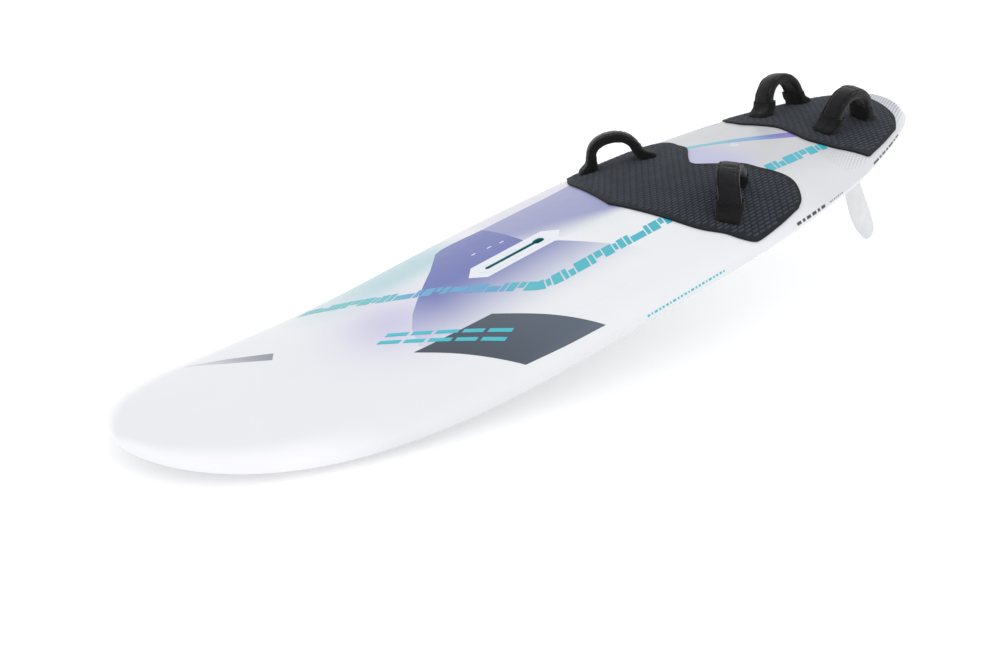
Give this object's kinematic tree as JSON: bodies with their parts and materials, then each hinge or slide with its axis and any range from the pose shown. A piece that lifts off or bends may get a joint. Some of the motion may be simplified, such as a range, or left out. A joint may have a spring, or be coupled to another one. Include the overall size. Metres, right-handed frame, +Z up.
{
  "type": "windsurf board",
  "caption": "Foam-cored sailboard with a slotted mast track, two grip pads, leaning foot straps, a vent screw and a bolted swept fin.",
  "frame": {"origin": "middle of the bounding box's base, on the ground that the fin tip and the belly rest on", "axes": "+X towards the nose, +Y to port, +Z up; the hull is pitched 13.35 degrees nose down"},
  "size_m": [2.3536, 0.6856, 0.5216],
  "materials": {
    "hull_skin": "satin white with a printed deck",
    "white_foam": "expanded foam",
    "dense_foam": "dense structural foam",
    "grip_pad": "embossed foam, matt",
    "strap_cover": "knitted padding cover, matt",
    "strap_webbing": "woven nylon",
    "fin_laminate": "sanded laminate",
    "dark_plastic": "moulded",
    "pale_plastic": "moulded",
    "teal_plastic": "moulded",
    "seal_rubber": "matt",
    "steel": "brushed"
  },
  "bodies": {
    "board": {"mast_track_box": "teal_plastic", "fin_box": "dark_plastic", "fin_head": "dark_plastic", "fin_barrel_nut": "steel", "fin_bolt_washer": "steel", "fin_bolt": "steel", "fin_blade": "fin_laminate", "vent_body": "pale_plastic", "foam_core": "white_foam", "mast_block": "dense_foam", "fin_block": "dense_foam", "deck_shell": "hull_skin", "bottom_shell": "hull_skin", "front_pad": "grip_pad", "rear_pad": "grip_pad", "front_port_fore_tab": "strap_webbing", "front_port_fore_washer": "steel", "front_port_fore_screw": "steel", "front_port_fore_insert": "dark_plastic", "front_port_aft_tab": "strap_webbing", "front_port_aft_washer": "steel", "front_port_aft_screw": "steel", "front_port_aft_insert": "dark_plastic", "front_starboard_fore_tab": "strap_webbing", "front_starboard_fore_washer": "steel", "front_starboard_fore_screw": "steel", "front_starboard_fore_insert": "dark_plastic", "front_starboard_aft_tab": "strap_webbing", "front_starboard_aft_washer": "steel", "front_starboard_aft_screw": "steel", "front_starboard_aft_insert": "dark_plastic", "rear_port_fore_tab": "strap_webbing", "rear_port_fore_washer": "steel", "rear_port_fore_screw": "steel", "rear_port_fore_insert": "dark_plastic", "rear_port_aft_tab": "strap_webbing", "rear_port_aft_washer": "steel", "rear_port_aft_screw": "steel", "rear_port_aft_insert": "dark_plastic", "rear_starboard_fore_tab": "strap_webbing", "rear_starboard_fore_washer": "steel", "rear_starboard_fore_screw": "steel", "rear_starboard_fore_insert": "dark_plastic", "rear_starboard_aft_tab": "strap_webbing", "rear_starboard_aft_washer": "steel", "rear_starboard_aft_screw": "steel", "rear_starboard_aft_insert": "dark_plastic"},
    "vent_seal_ring": {"vent_seal": "seal_rubber"},
    "vent_screw_body": {"vent_screw": "pale_plastic"},
    "front_port_strap": {"front_port_strap_cover": "strap_cover", "front_port_strap_webbing": "strap_webbing"},
    "front_starboard_strap": {"front_starboard_strap_cover": "strap_cover", "front_starboard_strap_webbing": "strap_webbing"},
    "rear_port_strap": {"rear_port_strap_cover": "strap_cover", "rear_port_strap_webbing": "strap_webbing"},
    "rear_starboard_strap": {"rear_starboard_strap_cover": "strap_cover", "rear_starboard_strap_webbing": "strap_webbing"}
  },
  "joints": [
    {"name": "vent_lift", "type": "slide", "parent": "board", "child": "vent_seal_ring", "axis": [0.1704, -0.0124, 0.9853], "range_m": [0, 0.003]},
    {"name": "vent_turn", "type": "hinge", "parent": "vent_seal_ring", "child": "vent_screw_body", "pos_m": [-0.49696, -0.00994, 0.3749], "axis": [0.1704, -0.0124, 0.9853], "range_deg": [0, 720]},
    {"name": "front_port_strap_lean", "type": "hinge", "parent": "board", "child": "front_port_strap", "pos_m": [-0.26075, 0.20098, 0.32429], "axis": [0.7613, 0.5851, -0.2796], "range_deg": [-20, 20], "stiffness_Nm_per_rad": 4},
    {"name": "front_starboard_strap_lean", "type": "hinge", "parent": "board", "child": "front_starboard_strap", "pos_m": [-0.26075, -0.20098, 0.32429], "axis": [0.7613, -0.5851, -0.2796], "range_deg": [-20, 20], "stiffness_Nm_per_rad": 4},
    {"name": "rear_port_strap_lean", "type": "hinge", "parent": "board", "child": "rear_port_strap", "pos_m": [-0.79391, 0.10971, 0.42653], "axis": [0.993, 0, -0.1177], "range_deg": [-20, 20], "stiffness_Nm_per_rad": 4},
    {"name": "rear_starboard_strap_lean", "type": "hinge", "parent": "board", "child": "rear_starboard_strap", "pos_m": [-0.79391, -0.10971, 0.42653], "axis": [0.993, 0, -0.1177], "range_deg": [-20, 20], "stiffness_Nm_per_rad": 4}
  ],
  "couplings": [
    {"joint": "vent_turn", "follows": "vent_lift", "rad_per_m": 4188.8}
  ]
}
